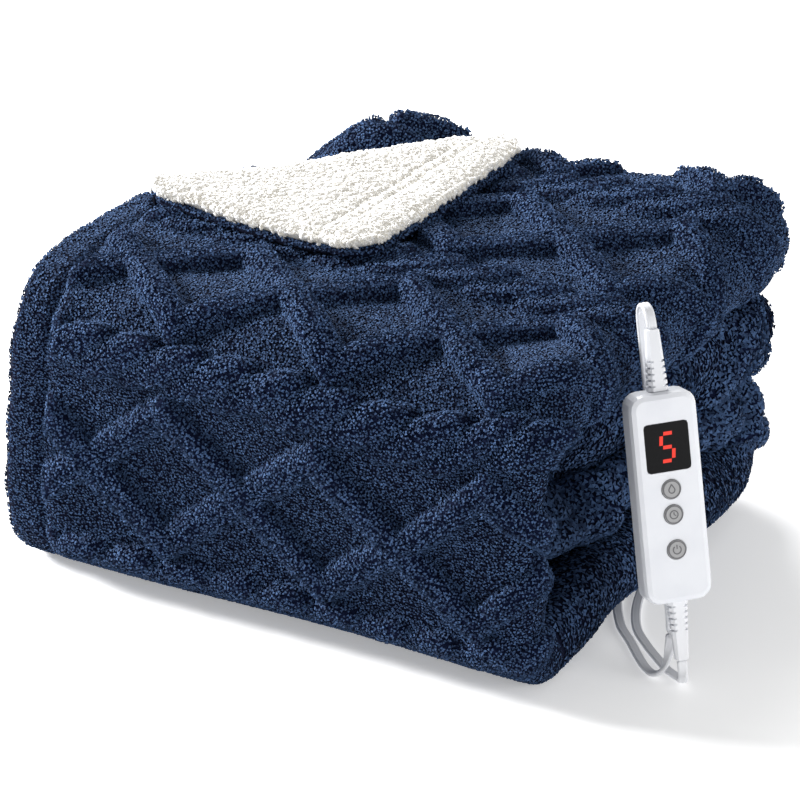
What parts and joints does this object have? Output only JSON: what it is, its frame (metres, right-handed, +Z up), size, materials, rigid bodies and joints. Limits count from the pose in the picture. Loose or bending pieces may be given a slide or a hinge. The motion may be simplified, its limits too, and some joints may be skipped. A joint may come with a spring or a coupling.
{
  "type": "folded electric heated blanket with a handset and leads",
  "caption": "Plush electric throw folded into a thick bundle, one corner turned back to its pale lining, with a handset leaning on its end and a mains lead coiled behind.",
  "frame": {"origin": "on the surface that it rests on, under the middle of the folded bundle", "axes": "+X along the long front edge towards the handset, +Y away from the smooth folded front, +Z up"},
  "size_m": [0.4424, 0.4345, 0.2243],
  "materials": {
    "plush": "deep navy tufted plush pile, sheared short with longer raised bands",
    "fleece": "curly off-white fleece",
    "casing": "satin white moulded plastic",
    "window": "glossy black window over a red digit",
    "button": "soft grey button",
    "cord": "flexible white vinyl",
    "tie": "soft white tie",
    "blade": "plated flat blade"
  },
  "bodies": {
    "bundle": {"blanket": "plush", "lining": "fleece", "handset_body": "casing", "display_window": "window", "relief_top": "cord", "relief_bottom": "cord", "blanket_lead": "cord", "mains_lead": "cord", "mains_coil": "cord", "coil_tie": "tie", "plug_lead": "cord", "plug_body": "cord", "plug_blade_1": "blade", "plug_blade_2": "blade"},
    "heat_key": {"button_heat": "button"},
    "timer_key": {"button_timer": "button"},
    "power_key": {"button_power": "button"}
  },
  "joints": [
    {"name": "heat_press", "type": "slide", "parent": "bundle", "child": "heat_key", "axis": [-0.6864, 0.6715, -0.2792], "range_m": [0, 0.0008], "stiffness_N_per_m": 600},
    {"name": "timer_press", "type": "slide", "parent": "bundle", "child": "timer_key", "axis": [-0.6864, 0.6715, -0.2792], "range_m": [0, 0.0008], "stiffness_N_per_m": 600},
    {"name": "power_press", "type": "slide", "parent": "bundle", "child": "power_key", "axis": [-0.6864, 0.6715, -0.2792], "range_m": [0, 0.0008], "stiffness_N_per_m": 600}
  ]
}
